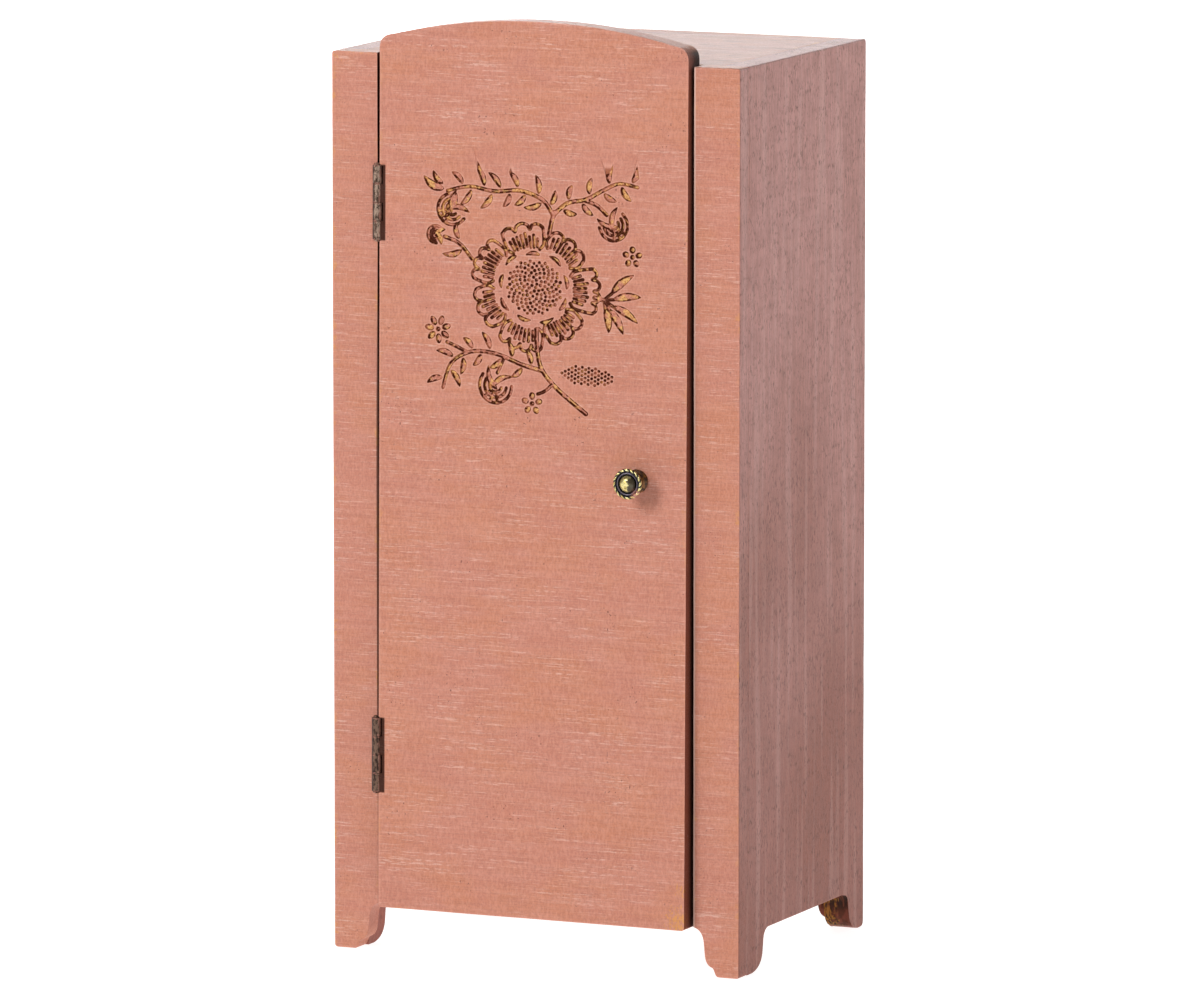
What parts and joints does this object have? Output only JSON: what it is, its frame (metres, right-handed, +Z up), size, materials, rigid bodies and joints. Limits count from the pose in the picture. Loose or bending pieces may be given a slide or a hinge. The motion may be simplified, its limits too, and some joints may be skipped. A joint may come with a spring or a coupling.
{
  "type": "miniature wardrobe",
  "caption": "Small painted dolls-house wardrobe on shaped feet, with a hinged arched door with an engraved flower, a brass knob, a hat shelf and a hanging rail inside.",
  "frame": {"origin": "on the floor, at the middle of the whole wardrobe's outline seen from above, knob included", "axes": "+Z up, the door faces -Y and is hung on the -X side"},
  "size_m": [0.0984, 0.0804, 0.21],
  "materials": {
    "pink_paint": "brushed matt paint over wood, fine pale streaks, ochre undercoat at worn edges",
    "side_paint": "thin matt paint, brown grain showing through",
    "inside_paint": "thin matt paint",
    "beech": "bare, lightly sanded",
    "hinge_brass": "antique, mottled, with paint smears",
    "knob_brass": "antique, bright on the raised parts and dark in the hollows",
    "steel": "zinc plated",
    "magnet": "nickel plated"
  },
  "bodies": {
    "carcass": {"side_panel_left": "side_paint", "side_panel_right": "side_paint", "stile_left": "pink_paint", "stile_right": "pink_paint", "top_board": "side_paint", "bottom_board": "inside_paint", "back_panel": "side_paint", "shelf": "inside_paint", "hanging_rail": "beech", "catch_magnet": "magnet", "upper_hinge_frame_leaf": "hinge_brass", "upper_hinge_frame_nail_1": "hinge_brass", "upper_hinge_frame_nail_2": "hinge_brass", "upper_hinge_pin": "hinge_brass", "lower_hinge_frame_leaf": "hinge_brass", "lower_hinge_frame_nail_1": "hinge_brass", "lower_hinge_frame_nail_2": "hinge_brass", "lower_hinge_pin": "hinge_brass"},
    "door": {"door_panel": "pink_paint", "knob": "knob_brass", "knob_screw": "steel", "knob_washer": "steel", "catch_plate": "steel", "upper_hinge_door_leaf": "hinge_brass", "upper_hinge_door_nail_1": "hinge_brass", "upper_hinge_door_nail_2": "hinge_brass", "lower_hinge_door_leaf": "hinge_brass", "lower_hinge_door_nail_1": "hinge_brass", "lower_hinge_door_nail_2": "hinge_brass"}
  },
  "joints": [
    {"name": "door_hinge", "type": "hinge", "parent": "carcass", "child": "door", "pos_m": [-0.0376, -0.03318, 0.09999], "axis": [0, -0.0105, -0.9999], "range_deg": [0, 175]}
  ]
}
